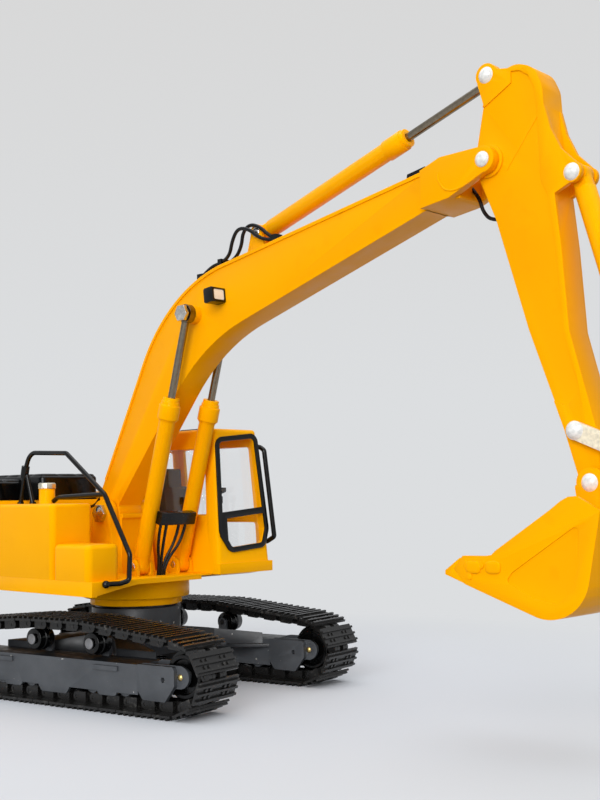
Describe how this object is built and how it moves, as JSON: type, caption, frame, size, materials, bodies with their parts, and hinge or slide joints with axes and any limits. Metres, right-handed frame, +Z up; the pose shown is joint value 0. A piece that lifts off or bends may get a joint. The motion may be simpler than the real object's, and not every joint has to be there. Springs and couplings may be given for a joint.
{
  "type": "tracked excavator display model",
  "caption": "Tracked excavator scale model with slewing cab deck, boom, arm, bucket, working rams and link tracks.",
  "frame": {"origin": "on the slewing axis at the ground, midway between the tracks", "axes": "+X the way the boom points, +Y the machine's left, +Z up"},
  "size_m": [0.2253, 0.0826, 0.1365],
  "materials": {
    "body_yellow": "gloss enamel",
    "ram_yellow": "moulded gloss",
    "frame_grey": "satin paint",
    "track_black": "moulded satin",
    "black_plastic": "moulded gloss",
    "rivet_metal": "polished",
    "rivet_white": "gloss",
    "ram_steel": "polished",
    "link_cream": "moulded",
    "clear_glass": "clear",
    "seat_brown": "moulded"
  },
  "bodies": {
    "undercarriage": {"carbody": "frame_grey", "track_frame_right": "frame_grey", "track_frame_left": "frame_grey", "track_shoes_right": "track_black", "track_shoes_left": "track_black", "track_pins": "track_black", "wheel_axles": "rivet_metal", "final_drives": "frame_grey", "slewing_washer": "black_plastic", "slewing_screw": "rivet_metal"},
    "idler_right": {"idler_right": "frame_grey"},
    "idler_left": {"idler_left": "frame_grey"},
    "sprocket_right": {"sprocket_right": "frame_grey"},
    "sprocket_left": {"sprocket_left": "frame_grey"},
    "carrier_roller_front_right": {"carrier_roller_front_right": "black_plastic"},
    "carrier_roller_front_left": {"carrier_roller_front_left": "black_plastic"},
    "carrier_roller_rear_right": {"carrier_roller_rear_right": "black_plastic"},
    "carrier_roller_rear_left": {"carrier_roller_rear_left": "black_plastic"},
    "superstructure": {"slewing_ring": "body_yellow", "revolving_frame": "body_yellow", "foot_pins": "rivet_metal", "fuel_tank": "body_yellow", "filler_cap": "rivet_metal", "tool_box": "body_yellow", "engine_housing": "body_yellow", "left_housing": "body_yellow", "engine_hood": "black_plastic", "counterweight": "body_yellow", "cab_shell": "body_yellow", "cab_glass": "clear_glass", "roof_hatch": "black_plastic", "windscreen_trim": "black_plastic", "cab_grab_bar": "black_plastic", "seat": "seat_brown", "control_levers": "black_plastic", "handrail": "black_plastic", "boom_feed_hose": "black_plastic", "manifold_hoses": "black_plastic"},
    "boom": {"boom": "body_yellow", "boom_pins": "rivet_metal", "work_lamp": "black_plastic", "lamp_lens": "clear_glass", "boom_hoses": "black_plastic", "hose_clips": "black_plastic", "arm_hose": "black_plastic"},
    "boom_ram_barrels": {"boom_ram_barrels": "ram_yellow", "hose_manifold": "black_plastic"},
    "boom_ram_rods": {"boom_ram_rods": "ram_steel"},
    "arm_ram_barrel": {"arm_ram_barrel": "ram_yellow"},
    "arm_ram_rod": {"arm_ram_rod": "ram_steel"},
    "arm": {"arm": "body_yellow", "arm_pins": "rivet_white"},
    "bucket_ram_barrel": {"bucket_ram_barrel": "ram_yellow"},
    "bucket_ram_rod": {"bucket_ram_rod": "ram_steel"},
    "tipping_links": {"tipping_links": "link_cream", "tipping_pin": "rivet_white"},
    "push_link": {"push_link": "body_yellow"},
    "bucket": {"bucket": "body_yellow", "bucket_teeth": "body_yellow", "bucket_ear_pin": "rivet_white"}
  },
  "joints": [
    {"name": "slew", "type": "hinge", "parent": "undercarriage", "child": "superstructure", "pos_m": [0, 0, 0.0219], "axis": [0, 0, 1], "continuous": true},
    {"name": "sprocket_right_spin", "type": "hinge", "parent": "undercarriage", "child": "sprocket_right", "pos_m": [-0.03536, -0.0326, 0.0092], "axis": [-0.1668, 0.986, 0], "continuous": true},
    {"name": "idler_right_spin", "type": "hinge", "parent": "undercarriage", "child": "idler_right", "pos_m": [0.04411, -0.01916, 0.0092], "axis": [-0.1668, 0.986, 0], "continuous": true},
    {"name": "carrier_roller_front_right_spin", "type": "hinge", "parent": "undercarriage", "child": "carrier_roller_front_right", "pos_m": [0.01552, -0.024, 0.015], "axis": [-0.1668, 0.986, 0], "continuous": true},
    {"name": "carrier_roller_rear_right_spin", "type": "hinge", "parent": "undercarriage", "child": "carrier_roller_rear_right", "pos_m": [-0.0041, -0.02732, 0.015], "axis": [-0.1668, 0.986, 0], "continuous": true},
    {"name": "sprocket_left_spin", "type": "hinge", "parent": "undercarriage", "child": "sprocket_left", "pos_m": [-0.04411, 0.01916, 0.0092], "axis": [-0.1668, 0.986, 0], "continuous": true},
    {"name": "idler_left_spin", "type": "hinge", "parent": "undercarriage", "child": "idler_left", "pos_m": [0.03536, 0.0326, 0.0092], "axis": [-0.1668, 0.986, 0], "continuous": true},
    {"name": "carrier_roller_front_left_spin", "type": "hinge", "parent": "undercarriage", "child": "carrier_roller_front_left", "pos_m": [0.00676, 0.02777, 0.015], "axis": [-0.1668, 0.986, 0], "continuous": true},
    {"name": "carrier_roller_rear_left_spin", "type": "hinge", "parent": "undercarriage", "child": "carrier_roller_rear_left", "pos_m": [-0.01286, 0.02445, 0.015], "axis": [-0.1668, 0.986, 0], "continuous": true},
    {"name": "boom_lift", "type": "hinge", "parent": "superstructure", "child": "boom", "pos_m": [-0.0062, 0, 0.0459], "axis": [0, -1, 0], "range_deg": [-30, 8], "deforming": ["boom_feed_hose"]},
    {"name": "boom_ram_swing", "type": "hinge", "parent": "superstructure", "child": "boom_ram_barrels", "pos_m": [0.0103, 0, 0.0321], "axis": [0, -1, 0], "range_deg": [-28.23, 7.89], "deforming": ["manifold_hoses"]},
    {"name": "boom_ram_stroke", "type": "slide", "parent": "boom_ram_barrels", "child": "boom_ram_rods", "axis": [0.2895, 0, 0.9572], "range_m": [-0.01104, 0.00309]},
    {"name": "arm_swing", "type": "hinge", "parent": "boom", "child": "arm", "pos_m": [0.1187, 0, 0.1163], "axis": [0, -1, 0], "range_deg": [-25, 25], "deforming": ["arm_hose"]},
    {"name": "arm_ram_swing", "type": "hinge", "parent": "boom", "child": "arm_ram_barrel", "pos_m": [0.0507, 0, 0.1137], "axis": [0, -1, 0], "range_deg": [-2.21, 2.21]},
    {"name": "arm_ram_stroke", "type": "slide", "parent": "arm_ram_barrel", "child": "arm_ram_rod", "axis": [0.9576, 0, 0.2881], "range_m": [-0.00751, 0.00751]},
    {"name": "bucket_curl", "type": "hinge", "parent": "arm", "child": "bucket", "pos_m": [0.1397, 0, 0.0516], "axis": [0, -1, 0], "range_deg": [-12, 55]},
    {"name": "tipping_swing", "type": "hinge", "parent": "arm", "child": "tipping_links", "pos_m": [0.1369, 0, 0.0613], "axis": [0, -1, 0], "range_deg": [-7.52, 32.67]},
    {"name": "push_swing", "type": "hinge", "parent": "bucket", "child": "push_link", "pos_m": [0.148, 0, 0.0451], "axis": [0, -1, 0], "range_deg": [-50.07, 11.32]},
    {"name": "bucket_ram_swing", "type": "hinge", "parent": "arm", "child": "bucket_ram_barrel", "pos_m": [0.1372, 0, 0.1104], "axis": [0, -1, 0], "range_deg": [-1.55, 5.32]},
    {"name": "bucket_ram_stroke", "type": "slide", "parent": "bucket_ram_barrel", "child": "bucket_ram_rod", "axis": [0.2731, 0, -0.962], "range_m": [-0.0088, 0.00208]}
  ],
  "couplings": [
    {"joint": "idler_right_spin", "follows": "sprocket_right_spin", "ratio": 1},
    {"joint": "carrier_roller_front_right_spin", "follows": "sprocket_right_spin", "ratio": 2.6},
    {"joint": "carrier_roller_rear_right_spin", "follows": "sprocket_right_spin", "ratio": 2.6},
    {"joint": "idler_left_spin", "follows": "sprocket_left_spin", "ratio": 1},
    {"joint": "carrier_roller_front_left_spin", "follows": "sprocket_left_spin", "ratio": 2.6},
    {"joint": "carrier_roller_rear_left_spin", "follows": "sprocket_left_spin", "ratio": 2.6},
    {"joint": "boom_ram_swing", "follows": "boom_lift", "ratio": 0.9242},
    {"joint": "boom_ram_stroke", "follows": "boom_lift", "m_per_rad": 0.020696},
    {"joint": "arm_ram_swing", "follows": "arm_swing", "ratio": 0.0684},
    {"joint": "arm_ram_stroke", "follows": "arm_swing", "m_per_rad": -0.016761},
    {"joint": "tipping_swing", "follows": "bucket_curl", "ratio": 0.585},
    {"joint": "push_swing", "follows": "bucket_curl", "ratio": -0.9013},
    {"joint": "bucket_ram_swing", "follows": "bucket_curl", "ratio": 0.0877},
    {"joint": "bucket_ram_stroke", "follows": "bucket_curl", "m_per_rad": -0.0089546}
  ]
}
